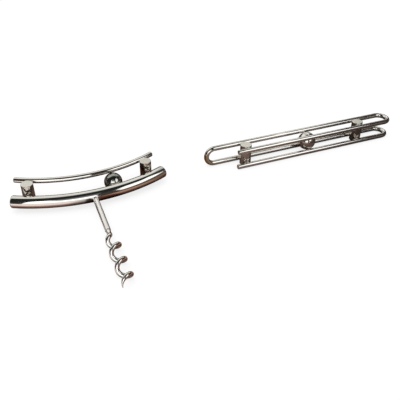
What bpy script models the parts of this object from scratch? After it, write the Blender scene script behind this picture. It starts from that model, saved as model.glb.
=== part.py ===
# Bottle opener and corkscrew, a set of two bar tools made from round polished stock.
# The opener is one wire bent like a clip, stiffened by two posts and a ball.
# The corkscrew is a bowed handle bar and rail, held apart by two posts and a ball, with a shank and a worm.
# Both tools lie on the table, X runs along the opener, Z is up, lengths are in metres.

import math

import bmesh
import bpy
from mathutils import Matrix, Vector

MM = 0.001

# Stock shared by both tools
ROD_DIAMETER = 4.0 * MM
POST_DIAMETER = 9.2 * MM
POST_EDGE = 0.35 * MM
BRAZE_GAP = 0.3 * MM
CUT_OVERRUN = 1.0 * MM
MERGE_DISTANCE = 0.003 * MM

# Bottle opener
ROD_RISE = 13.2 * MM
ROD_RUN = 140.2 * MM
HOOK_REACH = 15.1 * MM
ROD_END_ROUND = 0.6 * MM
LEFT_POST_FROM_ENDS = 9.85 * MM
RIGHT_POST_FROM_LOOP = 23.3 * MM
BALL_FROM_LEFT_POST = 57.3 * MM

# Corkscrew handle
HANDLE_BAR_DIAMETER = 9.2 * MM
HANDLE_BAR_LENGTH = 116.8 * MM
HANDLE_BAR_END_ROUND = 1.1 * MM
HANDLE_BEND_RADIUS = 128.6 * MM
HANDLE_POST_DIAMETER = 8.8 * MM
HANDLE_POST_FROM_BAR_END = 9.8 * MM
RAIL_END_BEYOND_POST = 11.4 * MM
RAIL_RISE = 7.55 * MM
HANDLE_BALL_DIAMETER = 13.7 * MM
HANDLE_BALL_OFFSET = 18.9 * MM

# Corkscrew shank and worm
SHANK_DIAMETER = 4.0 * MM
SHANK_LENGTH = 37.2 * MM
SHANK_SEAT_DEPTH = 5.0 * MM
SHANK_EDGE = 0.25 * MM
WORM_WIRE_DIAMETER = 3.2 * MM
WORM_COIL_DIAMETER = 6.92 * MM
WORM_PITCH = 14.3 * MM
WORM_LENGTH = 52.3 * MM
WORM_STRAIGHT = 2.0 * MM
WORM_LEAD_IN = 10.0 * MM
WORM_TENON_DIAMETER = 2.2 * MM
WORM_TENON_LENGTH = 8.0 * MM
WORM_POINT_LENGTH = 9.5 * MM
WORM_POINT_SHARE = 0.1
WORM_POINT_OUTWARD_SHARE = 0.4
WORM_START_ANGLE = math.radians(-396.5)

# How the two tools lie beside each other
SPACE_BETWEEN_TOOLS = 36.95 * MM
CORKSCREW_FORWARD = 10.2 * MM
CORKSCREW_TURN = math.radians(-1.07)

# Smoothness of the round shapes
ROD_BEVEL_RESOLUTION = 6
BAR_BEVEL_RESOLUTION = 10
WORM_BEVEL_RESOLUTION = 4
BEND_STEPS = 12
BOW_STEPS = 30
END_STEPS = 3
TURNED_SIDES = 48
BALL_SEGMENTS = 36
BALL_RINGS = 18
WORM_STEPS_PER_TURN = 24
SHARP_EDGE_ANGLE = math.radians(35)

ROD_RADIUS = ROD_DIAMETER / 2
POST_HEIGHT = ROD_RISE + ROD_DIAMETER
HANDLE_BAR_RADIUS = HANDLE_BAR_DIAMETER / 2

CHROME = (0.79, 0.78, 0.76)
STEEL = (0.66, 0.64, 0.62)
MIRROR_SHARE = 0.06
POLISH_SHARE = 0.12
SATIN_SHARE = 0.25


def clear_scene():
    for item in list(bpy.data.objects):
        bpy.data.objects.remove(item, do_unlink=True)


def new_collection(name):
    collection = bpy.data.collections.new(name)
    bpy.context.scene.collection.children.link(collection)
    return collection


def add_object(name, data, collection):
    item = bpy.data.objects.new(name, data)
    collection.objects.link(item)
    return item


def metal(name, colour, roughness):
    material = bpy.data.materials.new(name)
    material.use_nodes = True
    shader = material.node_tree.nodes["Principled BSDF"]
    shader.inputs["Base Color"].default_value = (*colour, 1.0)
    shader.inputs["Metallic"].default_value = 1.0
    shader.inputs["Roughness"].default_value = roughness
    return material


def finish(item, colour, roughness):
    item.data.materials.clear()
    item.data.materials.append(metal(item.name + "_metal", colour, roughness))


# Round bars and wires

def arc_points(centre, start, normal, angle, steps):
    # points on an arc that starts at start and turns about centre, without the first point
    turned = []
    for step in range(1, steps + 1):
        turn = Matrix.Rotation(angle * step / steps, 3, normal)
        turned.append(centre + turn @ (start - centre))
    return turned


def round_ends(points, radius, rounding):
    # adds rings at both ends whose radii follow a quarter circle, and returns points with radii
    def cap(end, inner):
        along = (inner - end).normalized()
        rings = []
        for step in range(END_STEPS):
            angle = math.pi / 2 * step / END_STEPS
            place = end + along * rounding * (1 - math.cos(angle))
            rings.append((place, radius - rounding * (1 - math.sin(angle))))
        rings.append((end + along * rounding, radius))
        return rings

    first = cap(points[0], points[1])
    last = cap(points[-1], points[-2])
    middle = [(point, radius) for point in points[1:-1]]
    return first + middle + last[::-1]


def wire(name, rings, bevel_resolution, collection):
    # a round wire through rings, each a point with its radius
    thickest = max(radius for _, radius in rings)
    curve = bpy.data.curves.new(name, "CURVE")
    curve.dimensions = "3D"
    curve.bevel_depth = thickest
    curve.bevel_resolution = bevel_resolution
    curve.use_fill_caps = True
    spline = curve.splines.new("POLY")
    spline.points.add(len(rings) - 1)
    for target, (point, radius) in zip(spline.points, rings):
        target.co = (*point, 1.0)
        target.radius = radius / thickest
    return add_object(name, curve, collection)


def as_mesh(source, collection):
    # the same wire as a closed mesh, so that it can be cut or can cut
    name = source.name
    bpy.context.view_layer.update()
    evaluated = source.evaluated_get(bpy.context.evaluated_depsgraph_get())
    mesh = bpy.data.meshes.new_from_object(evaluated)
    shape = bmesh.new()
    shape.from_mesh(mesh)
    bmesh.ops.remove_doubles(shape, verts=shape.verts, dist=MERGE_DISTANCE)
    bmesh.ops.recalc_face_normals(shape, faces=shape.faces)
    shape.to_mesh(mesh)
    shape.free()
    place = source.matrix_world.copy()
    bpy.data.objects.remove(source, do_unlink=True)
    item = add_object(name, mesh, collection)
    item.matrix_world = place
    item.name = name
    return item


def seat_cutter(name, points, radius, bevel_resolution, cutters):
    # the bar with the brazing gap all round, which cuts its seat into a neighbour
    rings = [(point, radius + BRAZE_GAP) for point in points]
    cutter = as_mesh(wire(name, rings, bevel_resolution, cutters), cutters)
    cutter.display_type = "WIRE"
    cutter.hide_render = True
    return cutter


def cut(item, cutter):
    boolean = item.modifiers.new("cut_" + cutter.name, "BOOLEAN")
    boolean.operation = "DIFFERENCE"
    boolean.solver = "EXACT"
    boolean.object = cutter


# Turned pieces and balls

def turned(name, profile, collection):
    # a body of revolution about Z, its profile given from the top down its outer side
    mesh = bpy.data.meshes.new(name)
    shape = bmesh.new()
    corners = [shape.verts.new((radius, 0, height)) for radius, height in profile]
    for upper, lower in zip(corners, corners[1:]):
        shape.edges.new((upper, lower))
    shape.to_mesh(mesh)
    shape.free()
    item = add_object(name, mesh, collection)
    screw = item.modifiers.new("turn", "SCREW")
    screw.axis = "Z"
    screw.steps = TURNED_SIDES
    screw.render_steps = TURNED_SIDES
    screw.use_merge_vertices = True
    screw.merge_threshold = MERGE_DISTANCE
    screw.use_smooth_shade = True
    return item


def post(name, place, diameter, collection):
    radius = diameter / 2
    inner = radius - POST_EDGE
    profile = [
        (0, POST_HEIGHT),
        (inner, POST_HEIGHT),
        (radius, POST_HEIGHT - POST_EDGE),
        (radius, POST_EDGE),
        (inner, 0),
        (0, 0),
    ]
    item = turned(name, profile, collection)
    item.location = place
    return item


def ball(name, place, diameter, collection):
    mesh = bpy.data.meshes.new(name)
    shape = bmesh.new()
    bmesh.ops.create_uvsphere(shape, u_segments=BALL_SEGMENTS, v_segments=BALL_RINGS, radius=diameter / 2)
    shape.to_mesh(mesh)
    shape.free()
    mesh.shade_smooth()
    item = add_object(name, mesh, collection)
    item.location = place
    return item


# Bottle opener, with its origin on the table between the rods' cut ends

def opener_rod_points():
    side = (POST_DIAMETER + ROD_DIAMETER) / 2
    low = ROD_RADIUS
    high = ROD_RADIUS + ROD_RISE
    middle = (low + high) / 2
    up = Vector((0, 0, 1))
    across = Vector((0, 1, 0))
    points = [Vector((0, -side, high)), Vector((ROD_RUN, -side, high))]
    points += arc_points(Vector((ROD_RUN, 0, high)), points[-1], up, math.pi, BEND_STEPS)
    points.append(Vector((-HOOK_REACH, side, high)))
    points += arc_points(Vector((-HOOK_REACH, side, middle)), points[-1], across, -math.pi, BEND_STEPS)
    points.append(Vector((ROD_RUN, side, low)))
    points += arc_points(Vector((ROD_RUN, 0, low)), points[-1], up, -math.pi, BEND_STEPS)
    points.append(Vector((0, -side, low)))
    return points


def build_opener(parts, cutters):
    place = bpy.data.objects.new("opener_place", None)
    parts.objects.link(place)

    points = opener_rod_points()
    rod = wire("bent_rod", round_ends(points, ROD_RADIUS, ROD_END_ROUND), ROD_BEVEL_RESOLUTION, parts)
    seat = seat_cutter("opener_seat", points, ROD_RADIUS, ROD_BEVEL_RESOLUTION, cutters)

    left_post_x = LEFT_POST_FROM_ENDS
    left_post = post("opener_left_post", (left_post_x, 0, 0), POST_DIAMETER, parts)
    right_post_x = ROD_RUN - RIGHT_POST_FROM_LOOP
    right_post = post("opener_right_post", (right_post_x, 0, 0), POST_DIAMETER, parts)

    half_square = Vector(((POST_DIAMETER + ROD_DIAMETER) / 2, ROD_RISE / 2))
    ball_diameter = 2 * (half_square.length - ROD_RADIUS)
    ball_place = (left_post_x + BALL_FROM_LEFT_POST, 0, ROD_RADIUS + ROD_RISE / 2)
    opener_ball = ball("opener_ball", ball_place, ball_diameter, parts)

    for item in (left_post, right_post, opener_ball):
        cut(item, seat)
    for item in (left_post, right_post):
        finish(item, CHROME, POLISH_SHARE)
    finish(rod, CHROME, MIRROR_SHARE)
    finish(opener_ball, CHROME, MIRROR_SHARE)
    for item in (rod, left_post, right_post, opener_ball, seat):
        item.parent = place
    return place


# Corkscrew, with its origin on the table under the middle of the handle bar

def rail_bend_radius():
    # the posts stand between the bar and the rail with the brazing gap on both sides
    between = HANDLE_POST_DIAMETER + 2 * BRAZE_GAP
    return HANDLE_BEND_RADIUS - HANDLE_BAR_RADIUS - between - ROD_RADIUS


def rail_height():
    return POST_HEIGHT - ROD_RADIUS


def handle_post_angle():
    # how far round the bow the posts stand from its middle
    return (HANDLE_BAR_LENGTH / 2 - HANDLE_POST_FROM_BAR_END) / HANDLE_BEND_RADIUS


def rail_length():
    return 2 * (handle_post_angle() * rail_bend_radius() + RAIL_END_BEYOND_POST)


def handle_bar_height():
    return rail_height() - RAIL_RISE


def on_bow(radius, angle, height):
    # a place on the handle's bow, whose centre lies behind the handle
    x = radius * math.sin(angle)
    y = HANDLE_BEND_RADIUS - radius * math.cos(angle)
    return Vector((x, y, height))


def bow_points(radius, length, height):
    half = length / 2 / radius
    points = []
    for step in range(BOW_STEPS + 1):
        angle = half * (2 * step / BOW_STEPS - 1)
        points.append(on_bow(radius, angle, height))
    return points


def handle_ball_place():
    # the ball rests against the bar and the rail, on the side where the table is
    from_bar = (HANDLE_BAR_DIAMETER + HANDLE_BALL_DIAMETER) / 2
    from_rail = (ROD_DIAMETER + HANDLE_BALL_DIAMETER) / 2
    bar_to_rail = Vector((HANDLE_BEND_RADIUS - rail_bend_radius(), RAIL_RISE))
    span = bar_to_rail.length
    along = (from_bar ** 2 - from_rail ** 2 + span ** 2) / (2 * span)
    aside = math.sqrt(from_bar ** 2 - along ** 2)
    direction = bar_to_rail / span
    inward = along * direction.x + aside * direction.y
    rise = along * direction.y - aside * direction.x
    angle = HANDLE_BALL_OFFSET / HANDLE_BEND_RADIUS
    return on_bow(HANDLE_BEND_RADIUS - inward, angle, handle_bar_height() + rise)


def build_shank(parts):
    # the inner end sits in the handle bar, the outer end is bored for the worm
    radius = SHANK_DIAMETER / 2
    edge = radius - SHANK_EDGE
    bore = WORM_TENON_DIAMETER / 2 + BRAZE_GAP
    length = SHANK_SEAT_DEPTH + SHANK_LENGTH
    bore_end = length - WORM_TENON_LENGTH - BRAZE_GAP
    profile = [
        (0, bore_end),
        (bore, bore_end),
        (bore, length),
        (edge, length),
        (radius, length - SHANK_EDGE),
        (radius, SHANK_EDGE),
        (edge, 0),
        (0, 0),
    ]
    shank = turned("shank", profile, parts)
    shank.rotation_euler = (math.pi / 2, 0, 0)
    shank.location = (0, SHANK_SEAT_DEPTH - HANDLE_BAR_RADIUS, handle_bar_height())
    return shank


def worm_rings():
    # a tenon sits in the shank, the wire goes on straight, opens into the coil and ends in a ground point
    axis_height = handle_bar_height()
    shank_end = -HANDLE_BAR_RADIUS - SHANK_LENGTH
    start = shank_end - BRAZE_GAP - SHANK_EDGE
    wire_radius = WORM_WIRE_DIAMETER / 2
    tenon_radius = WORM_TENON_DIAMETER / 2
    coil_radius = WORM_COIL_DIAMETER / 2
    turn_length = math.hypot(math.pi * WORM_COIL_DIAMETER, WORM_PITCH)
    steps = round(WORM_LENGTH / WORM_PITCH * WORM_STEPS_PER_TURN)
    tenon_end = Vector((0, shank_end + WORM_TENON_LENGTH, axis_height))
    tenon_root = Vector((0, shank_end - BRAZE_GAP, axis_height))
    rings = [(tenon_end, tenon_radius), (tenon_root, tenon_radius)]
    for step in range(steps + 1):
        travel = WORM_LENGTH * step / steps
        to_tip = (WORM_LENGTH - travel) / WORM_PITCH * turn_length
        sharpened = min(to_tip / WORM_POINT_LENGTH, 1)
        thickness = WORM_POINT_SHARE + (1 - WORM_POINT_SHARE) * math.sin(sharpened * math.pi / 2)
        opened = min(max(travel - WORM_STRAIGHT, 0) / WORM_LEAD_IN, 1)
        ground_away = wire_radius * (1 - thickness)
        reach = coil_radius * opened ** 2 * (3 - 2 * opened) + ground_away * WORM_POINT_OUTWARD_SHARE
        angle = WORM_START_ANGLE + 2 * math.pi * travel / WORM_PITCH
        place = Vector((reach * math.cos(angle), start - travel, axis_height + reach * math.sin(angle)))
        rings.append((place, wire_radius * thickness))
    return rings


def resting_tilt(pivot, rings):
    # the handle stands on the front edges of its posts and leans until the worm meets the table
    angles = []
    for point, radius in rings:
        ahead = pivot.y - point.y
        distance = math.hypot(ahead, point.z)
        angles.append(math.atan2(point.z, ahead) - math.asin(radius / distance))
    return min(angles)


def build_corkscrew(parts, cutters):
    bar_height = handle_bar_height()
    bar_points = bow_points(HANDLE_BEND_RADIUS, HANDLE_BAR_LENGTH, bar_height)
    rail_points = bow_points(rail_bend_radius(), rail_length(), rail_height())

    bar_rings = round_ends(bar_points, HANDLE_BAR_RADIUS, HANDLE_BAR_END_ROUND)
    bar = as_mesh(wire("handle_bar", bar_rings, BAR_BEVEL_RESOLUTION, parts), parts)
    rail_rings = round_ends(rail_points, ROD_RADIUS, ROD_END_ROUND)
    rail = wire("handle_rail", rail_rings, ROD_BEVEL_RESOLUTION, parts)
    bar_seat = seat_cutter("bar_seat", bar_points, HANDLE_BAR_RADIUS, BAR_BEVEL_RESOLUTION, cutters)
    rail_seat = seat_cutter("rail_seat", rail_points, ROD_RADIUS, ROD_BEVEL_RESOLUTION, cutters)

    post_angle = handle_post_angle()
    post_radius = HANDLE_POST_DIAMETER / 2
    post_bow = HANDLE_BEND_RADIUS - HANDLE_BAR_RADIUS - BRAZE_GAP - post_radius
    left_place = on_bow(post_bow, -post_angle, 0)
    right_place = on_bow(post_bow, post_angle, 0)
    left_post = post("handle_left_post", left_place, HANDLE_POST_DIAMETER, parts)
    right_post = post("handle_right_post", right_place, HANDLE_POST_DIAMETER, parts)
    handle_ball = ball("handle_ball", handle_ball_place(), HANDLE_BALL_DIAMETER, parts)
    cut(handle_ball, bar_seat)
    cut(handle_ball, rail_seat)

    shank = build_shank(parts)
    hole_depth = SHANK_SEAT_DEPTH + BRAZE_GAP + CUT_OVERRUN
    hole_middle = hole_depth / 2 - CUT_OVERRUN - HANDLE_BAR_RADIUS
    hole = shank_hole(hole_depth, (0, hole_middle, bar_height), cutters)
    cut(bar, hole)

    rings = worm_rings()
    worm = wire("worm", rings, WORM_BEVEL_RESOLUTION, parts)

    pieces = [bar, rail, left_post, right_post, handle_ball, shank, worm]
    for item in (bar, rail, handle_ball, worm):
        finish(item, CHROME, MIRROR_SHARE)
    for item in (left_post, right_post):
        finish(item, CHROME, POLISH_SHARE)
    finish(shank, STEEL, SATIN_SHARE)

    pivot = Vector((0, left_place.y - post_radius + POST_EDGE, 0))
    place = bpy.data.objects.new("corkscrew_place", None)
    lean = bpy.data.objects.new("corkscrew_lean", None)
    for empty in (place, lean):
        parts.objects.link(empty)
    lean.parent = place
    lean.location = pivot
    lean.rotation_euler = (resting_tilt(pivot, rings), 0, 0)
    for item in pieces + [bar_seat, rail_seat, hole]:
        item.location = Vector(item.location) - pivot
        item.parent = lean
    return place


def shank_hole(depth, middle, cutters):
    mesh = bpy.data.meshes.new("shank_hole")
    shape = bmesh.new()
    radius = SHANK_DIAMETER / 2 + BRAZE_GAP
    bmesh.ops.create_cone(
        shape, cap_ends=True, segments=TURNED_SIDES, radius1=radius, radius2=radius, depth=depth
    )
    shape.to_mesh(mesh)
    shape.free()
    hole = add_object("shank_hole", mesh, cutters)
    hole.rotation_euler = (math.pi / 2, 0, 0)
    hole.location = middle
    hole.display_type = "WIRE"
    hole.hide_render = True
    return hole


# The set laid out on the table, its middle over the origin

def world_box(collection):
    bpy.context.view_layer.update()
    graph = bpy.context.evaluated_depsgraph_get()
    corners = []
    for item in collection.objects:
        if item.type != "EMPTY":
            seen = item.evaluated_get(graph)
            mesh = seen.to_mesh()
            corners += [seen.matrix_world @ vertex.co for vertex in mesh.vertices]
            seen.to_mesh_clear()
    low = Vector(min(corner[axis] for corner in corners) for axis in range(3))
    high = Vector(max(corner[axis] for corner in corners) for axis in range(3))
    return low, high


def lay_out(opener, corkscrew, parts):
    hook_end = HOOK_REACH + ROD_RISE / 2 + ROD_RADIUS
    handle_end = HANDLE_BEND_RADIUS * math.sin(HANDLE_BAR_LENGTH / 2 / HANDLE_BEND_RADIUS)
    corkscrew.location = (-hook_end - SPACE_BETWEEN_TOOLS - handle_end, -CORKSCREW_FORWARD, 0)
    corkscrew.rotation_euler = (0, 0, CORKSCREW_TURN)
    low, high = world_box(parts)
    middle = (low + high) / 2
    shift = Vector((middle.x, middle.y, low.z))
    opener.location = Vector(opener.location) - shift
    corkscrew.location = Vector(corkscrew.location) - shift


def smooth(parts):
    for item in parts.objects:
        if item.type == "MESH" and not any(step.type == "SCREW" for step in item.modifiers):
            item.data.set_sharp_from_angle(angle=SHARP_EDGE_ANGLE)
            item.data.shade_smooth()


def main():
    clear_scene()
    parts = new_collection("bottle_opener_corkscrew")
    cutters = new_collection("cutters")
    opener = build_opener(parts, cutters)
    corkscrew = build_corkscrew(parts, cutters)
    lay_out(opener, corkscrew, parts)
    smooth(parts)
    bpy.context.view_layer.update()


main()
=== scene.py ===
import math

import bmesh
import bpy
from mathutils import Matrix, Vector


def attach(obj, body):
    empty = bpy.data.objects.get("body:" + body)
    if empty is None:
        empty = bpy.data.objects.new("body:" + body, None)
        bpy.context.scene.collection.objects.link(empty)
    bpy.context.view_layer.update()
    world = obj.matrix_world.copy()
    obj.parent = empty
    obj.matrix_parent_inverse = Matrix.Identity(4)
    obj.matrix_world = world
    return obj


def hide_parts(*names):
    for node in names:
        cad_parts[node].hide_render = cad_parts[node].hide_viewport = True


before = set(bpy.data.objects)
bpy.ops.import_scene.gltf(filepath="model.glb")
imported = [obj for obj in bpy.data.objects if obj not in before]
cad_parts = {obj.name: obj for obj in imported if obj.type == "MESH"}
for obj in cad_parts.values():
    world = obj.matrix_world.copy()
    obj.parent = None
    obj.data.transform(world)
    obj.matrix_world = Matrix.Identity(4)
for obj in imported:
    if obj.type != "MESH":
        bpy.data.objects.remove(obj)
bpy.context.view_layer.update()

# Bottle opener and corkscrew, two bar tools of bright chromed stock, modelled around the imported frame.
# Each tool is modelled at its own origin and is then laid where the frame has it.

mm = 0.001
xAxis, yAxis, zAxis = (1, 0, 0), (0, 1, 0), (0, 0, 1)
quarterTurn = math.pi / 2
halfTurn = math.pi


# camera

cameraView = {
    "place": (-0.1560636, -0.2926268, 0.2326452),
    "aside": math.radians(22.57412),        # turned right from straight back
    "down": math.radians(35.59632),
    "roll": math.radians(0.31305),
    "lens": 48.5955,
    "sensor": 36.0,
    "nearest": 0.01,
    "farthest": 20,
}


def makeCamera(view):
    data = bpy.data.cameras.new("photoCamera")
    data.sensor_fit = "HORIZONTAL"
    data.sensor_width = view["sensor"]
    data.lens = view["lens"]
    data.clip_start = view["nearest"]
    data.clip_end = view["farthest"]
    camera = bpy.data.objects.new("photoCamera", data)
    bpy.context.scene.collection.objects.link(camera)
    turn = Matrix.Rotation(-view["aside"], 3, "Z")
    tip = Matrix.Rotation(quarterTurn - view["down"], 3, "X")
    lean = Matrix.Rotation(view["roll"], 3, "Z")
    camera.location = view["place"]
    camera.rotation_euler = (turn @ tip @ lean).to_euler()
    bpy.context.scene.camera = camera


makeCamera(cameraView)
bpy.context.scene.view_settings.view_transform = "Standard"
print("camera made")


# working steps that the pieces share

meshing = {
    "weld": 0.002 * mm,                     # points closer than this become one
    "rimAngle": math.radians(60),           # an edge sharper than this is the rim of an end
    "mostSides": 8,                         # a face with more sides is a flat end
    "bentCrease": math.radians(40),         # up to these angles an edge is shaded smooth
    "turnedCrease": math.radians(30),
    "cutterSides": 96,
}


def deselectAll():
    if bpy.context.mode != "OBJECT":
        bpy.ops.object.mode_set(mode="OBJECT")
    bpy.ops.object.select_all(action="DESELECT")


def choose(piece):
    deselectAll()
    piece.select_set(True)
    bpy.context.view_layer.objects.active = piece


def editPiece(piece):
    choose(piece)
    bpy.ops.object.mode_set(mode="EDIT")
    bpy.ops.mesh.select_mode(type="VERT")


def nameNew(name):
    # takes the object that an operator has just added
    piece = bpy.context.object
    piece.name = name
    piece.data.name = name
    return piece


def applyTransform():
    bpy.ops.object.transform_apply(location=True, rotation=True, scale=True)


def pick(piece, kind, wanted):
    # selects only the verts, edges or faces for which wanted(item) holds
    modes = {"verts": "VERT", "edges": "EDGE", "faces": "FACE"}
    bpy.ops.mesh.select_mode(type=modes[kind])
    bpy.ops.mesh.select_all(action="DESELECT")
    shape = bmesh.from_edit_mesh(piece.data)
    shape.normal_update()
    for item in getattr(shape, kind):
        if wanted(item):
            item.select_set(True)
    shape.select_flush_mode()
    bmesh.update_edit_mesh(piece.data)


def isRim(edge):
    return len(edge.link_faces) == 2 and edge.calc_face_angle() > meshing["rimAngle"]


def isEnd(face):
    return len(face.verts) > meshing["mostSides"]


def weldAll():
    bpy.ops.mesh.select_all(action="SELECT")
    bpy.ops.mesh.remove_doubles(threshold=meshing["weld"])


def turnOutwards():
    bpy.ops.mesh.select_all(action="SELECT")
    bpy.ops.mesh.normals_make_consistent(inside=False)


def rollRims(piece, rounding, steps):
    pick(piece, "edges", isRim)
    bpy.ops.mesh.bevel(offset=rounding, offset_type="OFFSET", segments=steps, affect="EDGES")


def startRing(name, place, facing, radius, sides):
    # an open ring that the wire or bar is drawn out from
    deselectAll()
    turn = Vector(facing).to_track_quat("Z", "Y").to_euler()
    bpy.ops.mesh.primitive_circle_add(vertices=sides, radius=radius, location=place, rotation=turn)
    piece = nameNew(name)
    bpy.ops.object.mode_set(mode="EDIT")
    bpy.ops.mesh.select_mode(type="VERT")
    return piece


def drawOut(travel, steps=1):
    for _ in range(steps):
        share = [length / steps for length in travel]
        bpy.ops.mesh.extrude_region_move(TRANSFORM_OT_translate={"value": share})


def bendRound(centre, axis, angle, steps):
    # spin turns the other way round its axis, so it is given the angle negated
    bpy.ops.mesh.spin(steps=steps, angle=-angle, center=centre, axis=axis)


def closeEnds(piece, rounding, steps):
    # flat end faces with a rolled rim, each finished to a middle point
    weldAll()
    bpy.ops.mesh.fill_holes(sides=0)
    turnOutwards()
    rollRims(piece, rounding, steps)
    pick(piece, "faces", isEnd)
    bpy.ops.mesh.inset(thickness=rounding / 2)
    bpy.ops.mesh.poke()


def addCylinder(name, middle, length, radius, sides, turn=(0, 0, 0)):
    deselectAll()
    bpy.ops.mesh.primitive_cylinder_add(vertices=sides, radius=radius, depth=length,
                                        location=middle, rotation=turn)
    return nameNew(name)


def straightCutter(start, end, radius):
    # a round bar between two places, only for cutting
    start, end = Vector(start), Vector(end)
    run = end - start
    turn = run.to_track_quat("Z", "Y").to_euler()
    return addCylinder("cutter", (start + end) / 2, run.length, radius, meshing["cutterSides"], turn)


def carve(piece, cutter, label):
    # takes the cutter's shape out of the piece and throws the cutter away
    choose(piece)
    cut = piece.modifiers.new(label, "BOOLEAN")
    cut.operation = "DIFFERENCE"
    cut.solver = "EXACT"
    cut.object = cutter
    bpy.ops.object.modifier_apply(modifier=label)
    bpy.data.objects.remove(cutter, do_unlink=True)


def finishPiece(piece, place, crease):
    # tidies the mesh, lays it in its tool's place and shades it smooth
    editPiece(piece)
    weldAll()
    turnOutwards()
    choose(piece)
    applyTransform()
    piece.matrix_world = place
    bpy.context.view_layer.update()
    applyTransform()
    bpy.ops.object.shade_smooth_by_angle(angle=crease)
    deselectAll()


def dress(piece, material, body, node):
    piece.data.materials.clear()
    piece.data.materials.append(material)
    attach(piece, body)
    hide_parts(node)


# metal finishes, with tones of painted reflection and shade

metalDetail = {
    "smearNoise": (4.0, 0.6),               # detail and roughness of the pattern
    "smearTones": [(0.3, (0.93, 0.93, 0.92)), (0.6, (1.0, 1.0, 1.0))],
    "lineNoise": (3.0, 0.7),
    "lineTones": [(0.35, (0.90, 0.90, 0.89)), (0.5, (1.0, 1.0, 1.0))],
    "endFacing": (0.97, 0.995),             # how squarely up or down a turned end looks
    "bumpDepth": 0.02 * mm,
}
brightChrome = (0.86, 0.85, 0.82)

# the tones are painted reflection and shade, set by which way a side faces, warmer low where the sides
# would mirror the table; they run from the sides that look straight down, at 0, to those that look
# straight up, at 1
rodFinishAndPaintedReflection = {
    "tones": [(0.0, (0.62, 0.51, 0.46)), (0.35, (0.80, 0.72, 0.68)), (0.55, (0.93, 0.92, 0.89)),
              (1.0, brightChrome)],
    "smearScale": 70.0,
    "grainStretch": (0.01, 1.0, 1.0),
    "grainScale": 5000.0,
    "grainTone": 0.3,
    "grainRough": 0.03,
    "roughness": (0.03, 0.08),
    "bump": 0.01,
}
barFinishAndPaintedReflection = dict(rodFinishAndPaintedReflection, smearScale=55.0, roughness=(0.025, 0.07), tones=[
    (0.0, (0.46, 0.30, 0.23)), (0.30, (0.56, 0.40, 0.33)), (0.45, (0.86, 0.80, 0.78)),
    (0.60, brightChrome), (0.85, (0.84, 0.84, 0.81)), (1.0, (0.76, 0.76, 0.74))])
postFinishAndPaintedReflection = {
    "tones": [(0.0, (0.45, 0.40, 0.36)), (0.35, (0.62, 0.56, 0.51)), (0.65, (0.74, 0.69, 0.64)),
              (0.95, (0.74, 0.73, 0.69))],
    "smearScale": 130.0,
    "grainStretch": (1.0, 1.0, 0.2),
    "grainScale": 2400.0,
    "grainTone": 0.6,
    "grainRough": 0.08,
    "roughness": (0.04, 0.12),
    "bump": 0.03,
    "satinEnds": 0.2,                       # how much rougher the turned end faces are
}
openerPostFinishAndPaintedReflection = dict(postFinishAndPaintedReflection, tones=postFinishAndPaintedReflection["tones"][:3] + [(0.95, (0.90, 0.88, 0.83))])
# the ball's tones are darker all over, a painted reflection of dark surroundings, and darker again
# towards the top, a painted shade
ballFinishAndPaintedReflection = {
    "tones": [(0.0, (0.40, 0.36, 0.32)), (0.5, (0.66, 0.67, 0.63)), (0.78, (0.62, 0.63, 0.59)),
              (0.92, (0.40, 0.41, 0.38)), (1.0, (0.38, 0.39, 0.36))],
    "smearScale": 120.0,
    "grainStretch": (1.0, 1.0, 1.0),
    "grainScale": 900.0,
    "grainTone": 0.3,
    "grainRough": 0.03,
    "roughness": (0.10, 0.16),
    "bump": 0.02,
}
openerBallFinishAndPaintedReflection = dict(ballFinishAndPaintedReflection, roughness=(0.03, 0.07), tones=[
    (0.0, (0.42, 0.34, 0.30)), (0.5, (0.78, 0.73, 0.69)), (0.8, brightChrome)])
shankFinishAndPaintedReflection = {
    "tones": [(0.0, (0.42, 0.32, 0.30)), (0.35, (0.70, 0.62, 0.60)), (0.45, (0.90, 0.87, 0.87)),
              (1.0, (0.92, 0.90, 0.90))],
    "smearScale": 110.0,
    "grainStretch": (1.0, 0.04, 1.0),
    "grainScale": 3000.0,
    "grainTone": 0.6,
    "grainRough": 0.12,
    "roughness": (0.14, 0.24),
    "bump": 0.15,
}
wormFinishAndPaintedReflection = {
    "tones": [(0.0, (0.40, 0.28, 0.22)), (0.4, (0.66, 0.57, 0.52)), (0.6, (0.90, 0.89, 0.87))],
    "smearScale": 140.0,
    "grainStretch": (1.0, 1.0, 1.0),
    "grainScale": 1400.0,
    "grainTone": 0.5,
    "grainRough": 0.05,
    "roughness": (0.05, 0.12),
    "bump": 0.05,
}


def addNode(tree, kind, **settings):
    node = tree.nodes.new(kind)
    for name, value in settings.items():
        setattr(node, name, value)
    return node


def setInputs(node, **values):
    for name, value in values.items():
        node.inputs[name].default_value = value


def calculate(tree, operation, *terms):
    # each term is a socket or a plain number
    node = addNode(tree, "ShaderNodeMath", operation=operation)
    for socket, term in zip(node.inputs, terms):
        if isinstance(term, (int, float)):
            socket.default_value = term
        else:
            tree.links.new(term, socket)
    return node.outputs["Value"]


def rescale(tree, source, start, end, low=0.0, high=1.0):
    # what runs from start to end is made to run from low to high
    node = addNode(tree, "ShaderNodeMapRange")
    setInputs(node, **{"From Min": start, "From Max": end, "To Min": low, "To Max": high})
    tree.links.new(source, node.inputs["Value"])
    return node.outputs["Result"]


def splitVector(tree, vector):
    node = addNode(tree, "ShaderNodeSeparateXYZ")
    tree.links.new(vector, node.inputs["Vector"])
    return node


def multiply(tree, first, second, factor=1.0):
    mix = addNode(tree, "ShaderNodeMix", data_type="RGBA", blend_type="MULTIPLY")
    mix.inputs["Factor"].default_value = factor
    tree.links.new(first, mix.inputs["A"])
    tree.links.new(second, mix.inputs["B"])
    return mix.outputs["Result"]


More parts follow.
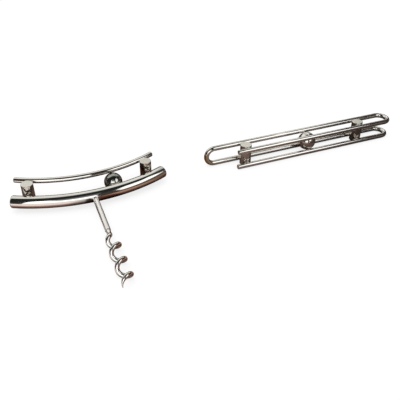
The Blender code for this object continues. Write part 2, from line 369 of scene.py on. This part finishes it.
def ramp(tree, source, stops):
    node = addNode(tree, "ShaderNodeValToRGB")
    elements = node.color_ramp.elements
    while len(elements) < len(stops):
        elements.new(0.5)
    for element, (position, colour) in zip(elements, stops):
        element.position = position
        element.color = (*colour, 1.0)
    tree.links.new(source, node.inputs["Fac"])
    return node.outputs["Color"]


def noise(tree, vector, scale, detail, roughness):
    node = addNode(tree, "ShaderNodeTexNoise")
    setInputs(node, Scale=scale, Detail=detail, Roughness=roughness)
    tree.links.new(vector, node.inputs["Vector"])
    return node.outputs["Fac"]


def makeMetal(name, finishAndPaintedReflection, place):
    # polished metal with handling smears and drawn lines, in the axes of the tool that it belongs to,
    # over a tone that is painted reflection and shade by which way the surface faces
    material = bpy.data.materials.new(name)
    material.use_nodes = True
    tree = material.node_tree
    shader = tree.nodes["Principled BSDF"]
    setInputs(shader, Metallic=1.0)

    coordinates = addNode(tree, "ShaderNodeTexCoord")
    local = addNode(tree, "ShaderNodeMapping", vector_type="TEXTURE")
    setInputs(local, Location=place.to_translation(), Rotation=place.to_euler())
    tree.links.new(coordinates.outputs["Object"], local.inputs["Vector"])
    grain = addNode(tree, "ShaderNodeMapping", vector_type="POINT")
    setInputs(grain, Scale=finishAndPaintedReflection["grainStretch"])
    tree.links.new(local.outputs["Vector"], grain.inputs["Vector"])
    smears = noise(tree, local.outputs["Vector"], finishAndPaintedReflection["smearScale"], *metalDetail["smearNoise"])
    lines = noise(tree, grain.outputs["Vector"], finishAndPaintedReflection["grainScale"], *metalDetail["lineNoise"])

    # painted reflection and shade: the tone is set by which way the surface faces, and the lower sides
    # are painted warmer, as they would mirror the table
    up = splitVector(tree, coordinates.outputs["Normal"]).outputs["Z"]
    colour = ramp(tree, rescale(tree, up, -1.0, 1.0), finishAndPaintedReflection["tones"])
    colour = multiply(tree, colour, ramp(tree, smears, metalDetail["smearTones"]))
    colour = multiply(tree, colour, ramp(tree, lines, metalDetail["lineTones"]), finishAndPaintedReflection["grainTone"])
    tree.links.new(colour, shader.inputs["Base Color"])

    smearRough = rescale(tree, smears, 0.0, 1.0, *finishAndPaintedReflection["roughness"])
    lineRough = rescale(tree, lines, 0.0, 1.0, 0.0, finishAndPaintedReflection["grainRough"])
    roughness = calculate(tree, "ADD", smearRough, lineRough)
    if "satinEnds" in finishAndPaintedReflection:
        # the turned end faces are left satin, only the sides are polished
        endFace = rescale(tree, calculate(tree, "ABSOLUTE", up), *metalDetail["endFacing"])
        roughness = calculate(tree, "MULTIPLY_ADD", endFace, finishAndPaintedReflection["satinEnds"], roughness)
    tree.links.new(roughness, shader.inputs["Roughness"])

    bump = addNode(tree, "ShaderNodeBump")
    setInputs(bump, Strength=finishAndPaintedReflection["bump"], Distance=metalDetail["bumpDepth"])
    tree.links.new(lines, bump.inputs["Height"])
    tree.links.new(bump.outputs["Normal"], shader.inputs["Normal"])
    return material


# bottle opener: one rod bent like a clip, along X

openerPlace = Matrix.Translation(Vector((13.0423, 42.2192, 0)) * mm)

rod = {
    "radius": 2.0 * mm,
    "run": 140.2 * mm,                      # from the cut ends to the bends of the right loops
    "hookReach": 15.1 * mm,                 # from the cut ends to the bend of the cap hook
    "halfWidth": 6.6 * mm,                  # from the middle to the front and the back runs
    "rise": 13.2 * mm,                      # from the lower runs to the upper ones
    "endRound": 0.6 * mm,
    "sides": 48,
    "frontSteps": 8,
    "backSteps": 9,
    "bendSteps": 40,
    "roundSteps": 5,
}


def makeOpenerRod():
    run, side, steps = rod["run"], rod["halfWidth"], rod["bendSteps"]
    low = rod["radius"]
    high = low + rod["rise"]
    hookEnd = -rod["hookReach"]
    piece = startRing("openerRod", (0, -side, high), xAxis, rod["radius"], rod["sides"])
    drawOut((run, 0, 0), rod["frontSteps"])
    bendRound((run, 0, high), zAxis, halfTurn, steps)
    drawOut((hookEnd - run, 0, 0), rod["backSteps"])
    bendRound((hookEnd, side, (low + high) / 2), yAxis, -halfTurn, steps)
    drawOut((run - hookEnd, 0, 0), rod["backSteps"])
    bendRound((run, 0, low), zAxis, -halfTurn, steps)
    drawOut((-run, 0, 0), rod["frontSteps"])
    closeEnds(piece, rod["endRound"], rod["roundSteps"])
    finishPiece(piece, openerPlace, meshing["bentCrease"])
    return piece


openerRod = makeOpenerRod()
rodChrome = makeMetal("rodChrome", rodFinishAndPaintedReflection, openerPlace)
dress(openerRod, rodChrome, "bottle_opener", "bent_rod")
print("opener rod bent")


# posts and balls

post = {
    "height": rod["rise"] + 2 * rod["radius"],
    "edge": 0.35 * mm,
    "edgeSteps": 4,
    "rimRing": 0.25 * mm,                   # a narrow ring inside the rolled edge
    "coreShare": 0.5,                       # then a wide one, as a share of the radius
    "sides": 96,
}
ballMesh = {"segments": 96, "rings": 48}
seat = {
    "gap": 0.05 * mm,
    "reach": 12 * mm,                       # how far a rod's cutter runs to each side
}


def makePost(name, foot, radius):
    middle = Vector(foot) + Vector((0, 0, post["height"] / 2))
    piece = addCylinder(name, middle, post["height"], radius, post["sides"])
    editPiece(piece)
    rollRims(piece, post["edge"], post["edgeSteps"])
    pick(piece, "faces", isEnd)
    bpy.ops.mesh.inset(thickness=post["rimRing"])
    bpy.ops.mesh.inset(thickness=radius * post["coreShare"])
    bpy.ops.mesh.poke()
    deselectAll()
    return piece


def makeBall(name, place, radius):
    deselectAll()
    bpy.ops.mesh.primitive_uv_sphere_add(segments=ballMesh["segments"], ring_count=ballMesh["rings"],
                                         radius=radius, location=place)
    return nameNew(name)


def carveRodSeats(piece, middleX):
    # the four rods run past the piece, two below and two above
    for side in (-rod["halfWidth"], rod["halfWidth"]):
        for height in (rod["radius"], rod["radius"] + rod["rise"]):
            start = (middleX - seat["reach"], side, height)
            end = (middleX + seat["reach"], side, height)
            carve(piece, straightCutter(start, end, rod["radius"] + seat["gap"]), "rodSeat")


openerPosts = {
    "radius": 4.6 * mm,
    "leftX": 9.85 * mm,
    "rightX": 116.9 * mm,
}
openerPostChrome = makeMetal("openerPostChrome", openerPostFinishAndPaintedReflection, openerPlace)
for name, node, postX in (("openerLeftPost", "opener_left_post", openerPosts["leftX"]),
                          ("openerRightPost", "opener_right_post", openerPosts["rightX"])):
    openerPost = makePost(name, (postX, 0, 0), openerPosts["radius"])
    carveRodSeats(openerPost, postX)
    finishPiece(openerPost, openerPlace, meshing["turnedCrease"])
    dress(openerPost, openerPostChrome, "bottle_opener", node)

openerBallSize = {
    "radius": math.hypot(rod["halfWidth"], rod["rise"] / 2) - rod["radius"],    # held by all four rods
    "place": Vector((67.15 * mm, 0, post["height"] / 2)),
}
openerBall = makeBall("openerBall", openerBallSize["place"], openerBallSize["radius"])
carveRodSeats(openerBall, openerBallSize["place"].x)
finishPiece(openerBall, openerPlace, meshing["turnedCrease"])
openerBallChrome = makeMetal("openerBallChrome", openerBallFinishAndPaintedReflection, openerPlace)
dress(openerBall, openerBallChrome, "bottle_opener", "opener_ball")
print("opener posts and ball seated")


# corkscrew handle: bowed bar and rail, whose bow has its centre behind them

bar = {
    "radius": 4.6 * mm,
    "bend": 128.6 * mm,
    "length": 116.8 * mm,
    "endRound": 1.1 * mm,
    "sides": 72,
    "holeRadius": 2.06 * mm,                # the shank's hole, from inside the bar to past its front
    "holeBack": 0.6 * mm,
    "holeFront": -8 * mm,
}
handlePosts = {
    "radius": 4.4 * mm,
    "fromBarEnd": 9.8 * mm,
    "gap": 0.3 * mm,                        # to the bar and to the rail, filled by the braze
}
rail = {
    "radius": 2.0 * mm,
    "aboveBar": 7.55 * mm,
    "pastPost": 11.4 * mm,
    "endRound": 0.6 * mm,
    "sides": 48,
}
handleBallSize = {
    "radius": 6.85 * mm,
    "offset": 18.9 * mm,                    # along the bar from its middle
}
bowing = {
    "steps": 120,
    "roundSteps": 6,
}
bowedSeat = {"length": 100 * mm, "endRound": 0.3 * mm, "sides": 96}

handlePosts["bend"] = bar["bend"] - bar["radius"] - handlePosts["gap"] - handlePosts["radius"]
handlePosts["angle"] = (bar["length"] / 2 - handlePosts["fromBarEnd"]) / bar["bend"]
rail["bend"] = handlePosts["bend"] - handlePosts["radius"] - handlePosts["gap"] - rail["radius"]
rail["length"] = 2 * (handlePosts["angle"] * rail["bend"] + rail["pastPost"])
rail["height"] = post["height"] - rail["radius"]
bar["height"] = rail["height"] - rail["aboveBar"]


def onBow(bend, angle, height):
    return Vector((bend * math.sin(angle), bar["bend"] - bend * math.cos(angle), height))


corkscrewLay = {
    "place": Vector((-104.0211, 32.0192, 0)) * mm,
    "turn": math.radians(-1.07),
    "lean": math.radians(1.53944),          # forward, until the worm meets the table
}


def layCorkscrew():
    # the handle leans on the front edge of its posts
    postFoot = onBow(handlePosts["bend"], handlePosts["angle"], 0)
    foot = Vector((0, postFoot.y - handlePosts["radius"] + post["edge"], 0))
    turn = Matrix.Translation(corkscrewLay["place"]) @ Matrix.Rotation(corkscrewLay["turn"], 4, "Z")
    lean = Matrix.Translation(foot) @ Matrix.Rotation(corkscrewLay["lean"], 4, "X")
    return turn @ lean @ Matrix.Translation(-foot)


corkscrewPlace = layCorkscrew()


def makeBowed(name, stock):
    # a ring at the left end, swept round the centre of the bow to the right end
    half = stock["length"] / stock["bend"] / 2
    tangent = (math.cos(half), -math.sin(half), 0)
    start = onBow(stock["bend"], -half, stock["height"])
    piece = startRing(name, start, tangent, stock["radius"], stock["sides"])
    bendRound((0, bar["bend"], stock["height"]), zAxis, 2 * half, bowing["steps"])
    closeEnds(piece, stock["endRound"], bowing["roundSteps"])
    deselectAll()
    return piece


def besideBarAndRail(radius, offset):
    # where a ball of this radius rests against both, on the side where the table is
    fromBar, fromRail = bar["radius"] + radius, rail["radius"] + radius
    across = Vector((bar["bend"] - rail["bend"], rail["aboveBar"]))
    span = across.length
    along = (fromBar ** 2 - fromRail ** 2 + span ** 2) / (2 * span)
    below = math.sqrt(fromBar ** 2 - along ** 2)
    direction = across / span
    inward = along * direction.x + below * direction.y
    rise = along * direction.y - below * direction.x
    return onBow(bar["bend"] - inward, offset / bar["bend"], bar["height"] + rise)


handleBar = makeBowed("handleBar", bar)
shankHole = straightCutter((0, bar["holeBack"], bar["height"]), (0, bar["holeFront"], bar["height"]),
                           bar["holeRadius"])
carve(handleBar, shankHole, "shankHole")
finishPiece(handleBar, corkscrewPlace, meshing["bentCrease"])
barChrome = makeMetal("barChrome", barFinishAndPaintedReflection, corkscrewPlace)
dress(handleBar, barChrome, "corkscrew", "handle_bar")

handleRail = makeBowed("handleRail", rail)
finishPiece(handleRail, corkscrewPlace, meshing["bentCrease"])
railChrome = makeMetal("railChrome", rodFinishAndPaintedReflection, corkscrewPlace)
dress(handleRail, railChrome, "corkscrew", "handle_rail")

handlePostChrome = makeMetal("handlePostChrome", postFinishAndPaintedReflection, corkscrewPlace)
for name, node, side in (("handleLeftPost", "handle_left_post", -1),
                         ("handleRightPost", "handle_right_post", 1)):
    foot = onBow(handlePosts["bend"], side * handlePosts["angle"], 0)
    handlePost = makePost(name, foot, handlePosts["radius"])
    finishPiece(handlePost, corkscrewPlace, meshing["turnedCrease"])
    dress(handlePost, handlePostChrome, "corkscrew", node)

ballPlace = besideBarAndRail(handleBallSize["radius"], handleBallSize["offset"])
handleBall = makeBall("handleBall", ballPlace, handleBallSize["radius"])
for name, stock in (("barSeat", bar), ("railSeat", rail)):
    cutter = makeBowed(name, dict(stock, **bowedSeat, radius=stock["radius"] + seat["gap"]))
    carve(handleBall, cutter, name)
finishPiece(handleBall, corkscrewPlace, meshing["turnedCrease"])
handleBallChrome = makeMetal("handleBallChrome", ballFinishAndPaintedReflection, corkscrewPlace)
dress(handleBall, handleBallChrome, "corkscrew", "handle_ball")
print("handle bent and joined")


# shank and worm, which run forward from the middle of the bar

shank = {
    "radius": 2.0 * mm,
    "innerEnd": 0.4 * mm,
    "outerEnd": -41.8 * mm,
    "edge": 0.25 * mm,
    "edgeSteps": 4,
    "boreWall": 0.7 * mm,
    "boreDepth": 8.0 * mm,
    "boreRing": 0.4 * mm,                   # a ring round the bottom of the bore
    "sides": 64,
}


def makeShank():
    length = shank["innerEnd"] - shank["outerEnd"]
    middle = (0, (shank["innerEnd"] + shank["outerEnd"]) / 2, bar["height"])
    piece = addCylinder("corkscrewShank", middle, length, shank["radius"], shank["sides"],
                        (quarterTurn, 0, 0))
    editPiece(piece)
    rollRims(piece, shank["edge"], shank["edgeSteps"])
    turn = piece.matrix_world.to_3x3()
    pick(piece, "faces", lambda face: isEnd(face) and (turn @ face.normal).y < 0)
    bpy.ops.mesh.inset(thickness=shank["boreWall"] - shank["edge"])
    drawOut((0, shank["boreDepth"], 0))
    pick(piece, "faces", isEnd)
    bpy.ops.mesh.inset(thickness=shank["boreRing"])
    bpy.ops.mesh.poke()
    deselectAll()
    return piece


corkscrewShank = makeShank()
finishPiece(corkscrewShank, corkscrewPlace, meshing["turnedCrease"])
shankSteel = makeMetal("shankSteel", shankFinishAndPaintedReflection, corkscrewPlace)
dress(corkscrewShank, shankSteel, "corkscrew", "shank")

worm = {
    "wireRadius": 1.6 * mm,
    "coilRadius": 3.46 * mm,
    "pitch": 14.3 * mm,
    "start": -42.35 * mm,
    "startAngle": math.radians(-396.5),
    "length": 52.3 * mm,
    "straight": 2.0 * mm,                   # before the coil begins to open
    "leadIn": 10.0 * mm,                    # until it is fully open
    "tenonRadius": 1.1 * mm,
    "tenonEnd": -33.9 * mm,                 # inside the shank's bore
    "tenonRoot": -42.1 * mm,
    "pointLength": 9.5 * mm,
    "pointShare": 0.1,                      # thickness left at the very point
    "groundOutward": 0.4,                   # how far the point keeps to the coil's outside
    "stepsPerTurn": 72,
    "roundness": 10,
}


def wormRings():
    # the tenon, then the wire: straight, opening into the coil, and ground thinner towards its point
    height = bar["height"]
    turnLength = math.hypot(2 * math.pi * worm["coilRadius"], worm["pitch"])
    steps = round(worm["length"] / worm["pitch"] * worm["stepsPerTurn"])
    rings = [(Vector((0, worm["tenonEnd"], height)), worm["tenonRadius"]),
             (Vector((0, worm["tenonRoot"], height)), worm["tenonRadius"])]
    for step in range(steps + 1):
        travel = worm["length"] * step / steps
        toTip = (worm["length"] - travel) / worm["pitch"] * turnLength
        ground = math.sin(min(toTip / worm["pointLength"], 1) * quarterTurn)
        thickness = worm["pointShare"] + (1 - worm["pointShare"]) * ground
        opened = min(max(travel - worm["straight"], 0) / worm["leadIn"], 1)
        eased = opened ** 2 * (3 - 2 * opened)      # the coil begins and ends its opening gently
        outward = worm["wireRadius"] * (1 - thickness) * worm["groundOutward"]
        reach = worm["coilRadius"] * eased + outward
        angle = worm["startAngle"] + 2 * math.pi * travel / worm["pitch"]
        aside, above = reach * math.cos(angle), reach * math.sin(angle)
        rings.append((Vector((aside, worm["start"] - travel, height + above)),
                      worm["wireRadius"] * thickness))
    return rings


def makeWorm():
    # a coil whose reach and thickness change is drawn as a curve with a round section
    rings = wormRings()
    curve = bpy.data.curves.new("corkscrewWorm", "CURVE")
    curve.dimensions = "3D"
    curve.bevel_depth = worm["wireRadius"]
    curve.bevel_resolution = worm["roundness"]
    curve.use_fill_caps = True
    spline = curve.splines.new("POLY")
    spline.points.add(len(rings) - 1)
    for point, (place, radius) in zip(spline.points, rings):
        point.co = (*place, 1.0)
        point.radius = radius / worm["wireRadius"]
    piece = bpy.data.objects.new("corkscrewWorm", curve)
    bpy.context.scene.collection.objects.link(piece)
    choose(piece)
    bpy.ops.object.convert(target="MESH")
    return nameNew("corkscrewWorm")


corkscrewWorm = makeWorm()
finishPiece(corkscrewWorm, corkscrewPlace, meshing["bentCrease"])
wormChrome = makeMetal("wormChrome", wormFinishAndPaintedReflection, corkscrewPlace)
dress(corkscrewWorm, wormChrome, "corkscrew", "worm")
print("shank and worm made")


# floor and light

white = (1.0, 1.0, 1.0)
black = (0.02, 0.021, 0.02)
darkGrey = (0.045, 0.045, 0.043)
cream = (0.90, 0.87, 0.80)

studio = {
    "floorSide": 6.0,
    "floorHeight": -0.05 * mm,
    "floorColour": (0.27, 0.27, 0.27),
    "floorGlow": 0.77,                      # seen by the camera and in the metal, it lights nothing else
    "worldLevel": 0.75,
    "lampPlace": (-0.7, -0.5, 2.6),
    "lampSide": 2.2,
    "lampWatts": 24.0,
}


def bareMaterial(name):
    material = bpy.data.materials.new(name)
    material.use_nodes = True
    tree = material.node_tree
    tree.nodes.clear()
    return material, tree, addNode(tree, "ShaderNodeOutputMaterial")


def makeFloor():
    deselectAll()
    bpy.ops.mesh.primitive_plane_add(size=studio["floorSide"], location=(0, 0, studio["floorHeight"]))
    floor = nameNew("paleFloor")
    material, tree, output = bareMaterial("paleFloor")
    matte = addNode(tree, "ShaderNodeBsdfDiffuse")
    setInputs(matte, Color=(*studio["floorColour"], 1.0))
    rays = addNode(tree, "ShaderNodeLightPath").outputs
    seen = calculate(tree, "MAXIMUM", rays["Is Camera Ray"], rays["Is Glossy Ray"])
    glow = addNode(tree, "ShaderNodeEmission")
    tree.links.new(calculate(tree, "MULTIPLY", seen, studio["floorGlow"]), glow.inputs["Strength"])
    both = addNode(tree, "ShaderNodeAddShader")
    tree.links.new(matte.outputs["BSDF"], both.inputs[0])
    tree.links.new(glow.outputs["Emission"], both.inputs[1])
    tree.links.new(both.outputs["Shader"], output.inputs["Surface"])
    floor.data.materials.append(material)
    deselectAll()


def makeWorld():
    # soft light all round, and plain white where the camera, the metal or glass looks past the floor
    world = bpy.data.worlds.new("softStudio")
    bpy.context.scene.world = world
    world.use_nodes = True
    tree = world.node_tree
    tree.nodes.clear()
    soft = addNode(tree, "ShaderNodeBackground")
    setInputs(soft, Color=(*white, 1.0), Strength=studio["worldLevel"])
    bright = addNode(tree, "ShaderNodeBackground")
    setInputs(bright, Color=(*white, 1.0), Strength=1.0)
    rays = addNode(tree, "ShaderNodeLightPath").outputs
    seen = calculate(tree, "MAXIMUM", rays["Is Camera Ray"], rays["Is Glossy Ray"])
    mix = addNode(tree, "ShaderNodeMixShader")
    tree.links.new(calculate(tree, "MAXIMUM", seen, rays["Is Transmission Ray"]), mix.inputs["Fac"])
    tree.links.new(soft.outputs["Background"], mix.inputs[1])
    tree.links.new(bright.outputs["Background"], mix.inputs[2])
    output = addNode(tree, "ShaderNodeOutputWorld")
    tree.links.new(mix.outputs["Shader"], output.inputs["Surface"])


def makeSoftBox():
    # one large lamp that looks at the middle of the set; the metal mirrors the cards in its stead
    data = bpy.data.lights.new("softBox", "AREA")
    data.shape = "SQUARE"
    data.size = studio["lampSide"]
    data.energy = studio["lampWatts"]
    lamp = bpy.data.objects.new("softBox", data)
    bpy.context.scene.collection.objects.link(lamp)
    lamp.location = studio["lampPlace"]
    lamp.rotation_euler = (-Vector(studio["lampPlace"])).to_track_quat("-Z", "Y").to_euler()
    lamp.visible_glossy = False


makeFloor()
makeWorld()
makeSoftBox()
print("floor and light set")


# cards that only the metal sees, so that its light and dark bands fall where they should

dome = {
    "radius": 1.6,
    "middle": (0, 0.03, 0),
    "segments": 180,
    "rings": 90,
}
domeCards = (
    # name, degrees round from the front towards the opener, degrees up, tones upwards, strength
    ("creamCeiling", (0, 360), (52, 91), [(0.0, cream), (1.0, (0.80, 0.78, 0.72))]),
    ("frontWindow", (-46, 6), (-2, 52), [(0.0, (0.38, 0.36, 0.35)), (0.2, (0.55, 0.54, 0.53)),
                                         (0.4, white)], 1.6),
    ("lowRight", (12, 63), (-2, 17), [(0.0, (0.06, 0.045, 0.04)), (0.8, (0.12, 0.11, 0.10)),
                                      (1.0, (0.60, 0.59, 0.57))]),
    ("sideWindow", (24, 63), (17, 52), [(0.0, white), (1.0, white)], 1.4),
    ("rightWall", (63, 115), (-2, 52), [(0.0, (0.04, 0.03, 0.025)), (1.0, (0.05, 0.05, 0.045))]),
    ("leftWall", (-115, -46), (-2, 52), [(0.0, (0.03, 0.03, 0.03)), (1.0, (0.03, 0.034, 0.034))]),
    ("backWall", (115, 245), (-2, 52), [(0.0, (0.10, 0.095, 0.09)), (0.43, (0.13, 0.13, 0.125)),
                                        (0.53, (0.90, 0.89, 0.85)), (1.0, (0.80, 0.79, 0.74))], 1.15),
)
flatCards = {
    "height": 0.26,
    "cells": 8,
}
overheadCards = (
    # name, start, end, tone at the front edge, tone at the back edge
    ("blackOverHandle", (-0.24, -0.08), (0.10, 0.09), black, black),
    ("blackEdgeBehind", (-0.24, 0.09), (0.10, 0.12), black, (0.60, 0.59, 0.55)),
    ("blackToTheLeft", (-0.40, -0.15), (-0.24, 0.11), black, black),
    ("blackFarLeft", (-0.80, -0.26), (-0.40, 0.11), black, black),
    ("darkToTheRight", (0.10, -0.03), (0.18, 0.11), darkGrey, darkGrey),
    ("shadeOverHandle", (-0.24, -0.33), (-0.05, -0.08), (0.45, 0.45, 0.45), (0.025, 0.025, 0.025)),
    ("streakOverHandle", (-0.05, -0.33), (0.03, -0.08), darkGrey, black),
    ("greyOverOpener", (0.06, 0.12), (0.21, 0.75), (0.55, 0.54, 0.51), (0.66, 0.65, 0.61)),
    ("darkOverLoops", (0.30, -0.08), (0.80, 0.33), darkGrey, darkGrey),
    ("darkOverLoopsFront", (0.37, -0.28), (0.80, -0.08), darkGrey, darkGrey),
    ("shadeBeyondLoops", (0.44, -0.65), (0.95, -0.28), (0.12, 0.11, 0.10), (0.10, 0.09, 0.085)),
)
uprightCards = (
    # name, start, end, height, tone
    ("darkColumn", (-0.040, -0.44), (0.118, -0.44), 0.60, (0.05, 0.045, 0.042)),
    ("darkBesideLoops", (0.30, -0.10), (0.30, 0.17), 0.45, (0.045, 0.035, 0.03)),
)
tableBoard = {
    "start": (-1.2, -1.3),
    "end": (1.2, 1.0),
    "height": -0.02 * mm,
    "tones": (
        (-0.128, (0.95, 0.83, 0.78)),       # pink in front of the handle's left half
        (-0.120, (0.60, 0.58, 0.56)),       # grey left of the shank and the worm
        (-0.113, (0.50, 0.49, 0.47)),
        (-0.110, (0.08, 0.06, 0.055)),      # painted shade close beside them
        (-0.105, (0.08, 0.06, 0.055)),
        (-0.103, (0.45, 0.40, 0.37)),
        (-0.1005, (0.36, 0.29, 0.25)),
        (-0.0985, (0.14, 0.055, 0.035)),    # brown right of them
        (-0.085, (0.14, 0.055, 0.035)),
        (-0.079, (0.42, 0.26, 0.19)),       # tan in front of the handle's right half
        (-0.045, (0.42, 0.26, 0.19)),
        (-0.036, (0.10, 0.07, 0.055)),
        (-0.026, (0.24, 0.14, 0.06)),       # golden beside the cap hook
        (-0.010, (0.24, 0.14, 0.06)),
        (0.006, (0.26, 0.20, 0.17)),        # brown in front of the opener, darker to the right
        (0.080, (0.15, 0.10, 0.085)),
        (0.130, (0.06, 0.042, 0.036)),
    ),
    "bowShade": (0.137, 0.150),             # painted shade, counted from the middle of the handle's bow
    "bowShadeTone": (0.26, 0.18, 0.15),
    "backShade": (0.030, 0.065),            # painted shade, counted backwards from the middle of the set
    "backShadeTone": (0.45, 0.46, 0.47),
}


def onlyForMetal(card, material):
    # the card is seen in the polished metal alone and leaves the light as it is
    card.data.materials.clear()
    card.data.materials.append(material)
    card.visible_camera = False
    card.visible_diffuse = False
    card.visible_shadow = False
    card.visible_transmission = False
    deselectAll()


def glowMaterial(name, axis, start, end, tones, strength=1.0):
    # a flat glow whose tone changes along one axis of the studio
    material, tree, output = bareMaterial(name)
    coordinates = addNode(tree, "ShaderNodeTexCoord")
    place = splitVector(tree, coordinates.outputs["Object"])
    glow = addNode(tree, "ShaderNodeEmission")
    setInputs(glow, Strength=strength)
    along = rescale(tree, place.outputs[axis], start, end)
    tree.links.new(ramp(tree, along, tones), glow.inputs["Color"])
    tree.links.new(glow.outputs["Emission"], output.inputs["Surface"])
    return material


def makeDomeCard(name, aside, height, tones, strength=1.0):
    # part of a dome round the set
    deselectAll()
    radius = dome["radius"]
    bpy.ops.mesh.primitive_uv_sphere_add(segments=dome["segments"], ring_count=dome["rings"],
                                         radius=radius, location=dome["middle"])
    card = nameNew(name)
    bpy.ops.object.mode_set(mode="EDIT")

    def outside(face):
        middle = face.calc_center_median()
        turned = math.degrees(math.atan2(middle.x, -middle.y)) % 360
        raised = math.degrees(math.asin(max(-1, min(1, middle.z / radius))))
        width = (turned - aside[0]) % 360
        return width > aside[1] - aside[0] or not height[0] < raised < height[1]

    pick(card, "faces", outside)
    bpy.ops.mesh.delete(type="FACE")
    deselectAll()
    low, high = (radius * math.sin(math.radians(angle)) for angle in height)
    onlyForMetal(card, glowMaterial(name, "Z", low, high, tones, strength))


def addCard(name, middle, width, depth, turn=(0, 0, 0)):
    deselectAll()
    bpy.ops.mesh.primitive_grid_add(x_subdivisions=flatCards["cells"], y_subdivisions=flatCards["cells"],
                                    size=1, location=middle, rotation=turn)
    card = nameNew(name)
    card.scale = (width, depth, 1)
    applyTransform()
    return card


def makeFlatCard(name, start, end, height, material):
    middle = (Vector(start) + Vector(end)) / 2
    card = addCard(name, (*middle, height), end[0] - start[0], end[1] - start[1])
    onlyForMetal(card, material)


def makeUprightCard(name, start, end, height, tone):
    # stands on the floor between two places
    start, end = Vector((*start, 0)), Vector((*end, 0))
    run = end - start
    middle = (start + end) / 2 + Vector((0, 0, height / 2))
    card = addCard(name, middle, run.length, height, (quarterTurn, 0, math.atan2(run.y, run.x)))
    onlyForMetal(card, glowMaterial(name, "Z", 0, height, [(0, tone), (1, tone)]))


def makeTableBoard(board):
    # a matt board right on the floor, with painted shade that is darkest close under the handle
    material, tree, output = bareMaterial("tableBoard")
    coordinates = addNode(tree, "ShaderNodeTexCoord").outputs["Object"]
    place = splitVector(tree, coordinates)
    left, right = board["tones"][0][0], board["tones"][-1][0]
    tones = [((x - left) / (right - left), tone) for x, tone in board["tones"]]
    colour = ramp(tree, rescale(tree, place.outputs["X"], left, right), tones)

    # painted shade close under the handle's bow
    fromBow = addNode(tree, "ShaderNodeVectorMath", operation="DISTANCE")
    bowMiddle = corkscrewPlace @ Vector((0, bar["bend"], 0))
    fromBow.inputs[1].default_value = (bowMiddle.x, bowMiddle.y, board["height"])
    tree.links.new(coordinates, fromBow.inputs[0])
    underBow = rescale(tree, fromBow.outputs["Value"], *board["bowShade"])
    colour = multiply(tree, colour, ramp(tree, underBow, [(0, board["bowShadeTone"]), (1, white)]))

    # painted shade further back
    backward = rescale(tree, place.outputs["Y"], *board["backShade"])
    colour = multiply(tree, colour, ramp(tree, backward, [(0, white), (1, board["backShadeTone"])]))
    matte = addNode(tree, "ShaderNodeBsdfDiffuse")
    tree.links.new(colour, matte.inputs["Color"])
    tree.links.new(matte.outputs["BSDF"], output.inputs["Surface"])
    makeFlatCard("tableBoard", board["start"], board["end"], board["height"], material)


for card in domeCards:
    makeDomeCard(*card)
for name, start, end, frontTone, backTone in overheadCards:
    cardGlow = glowMaterial(name, "Y", start[1], end[1], [(0, frontTone), (1, backTone)])
    makeFlatCard(name, start, end, flatCards["height"], cardGlow)
for card in uprightCards:
    makeUprightCard(*card)
makeTableBoard(tableBoard)
print("cards set")
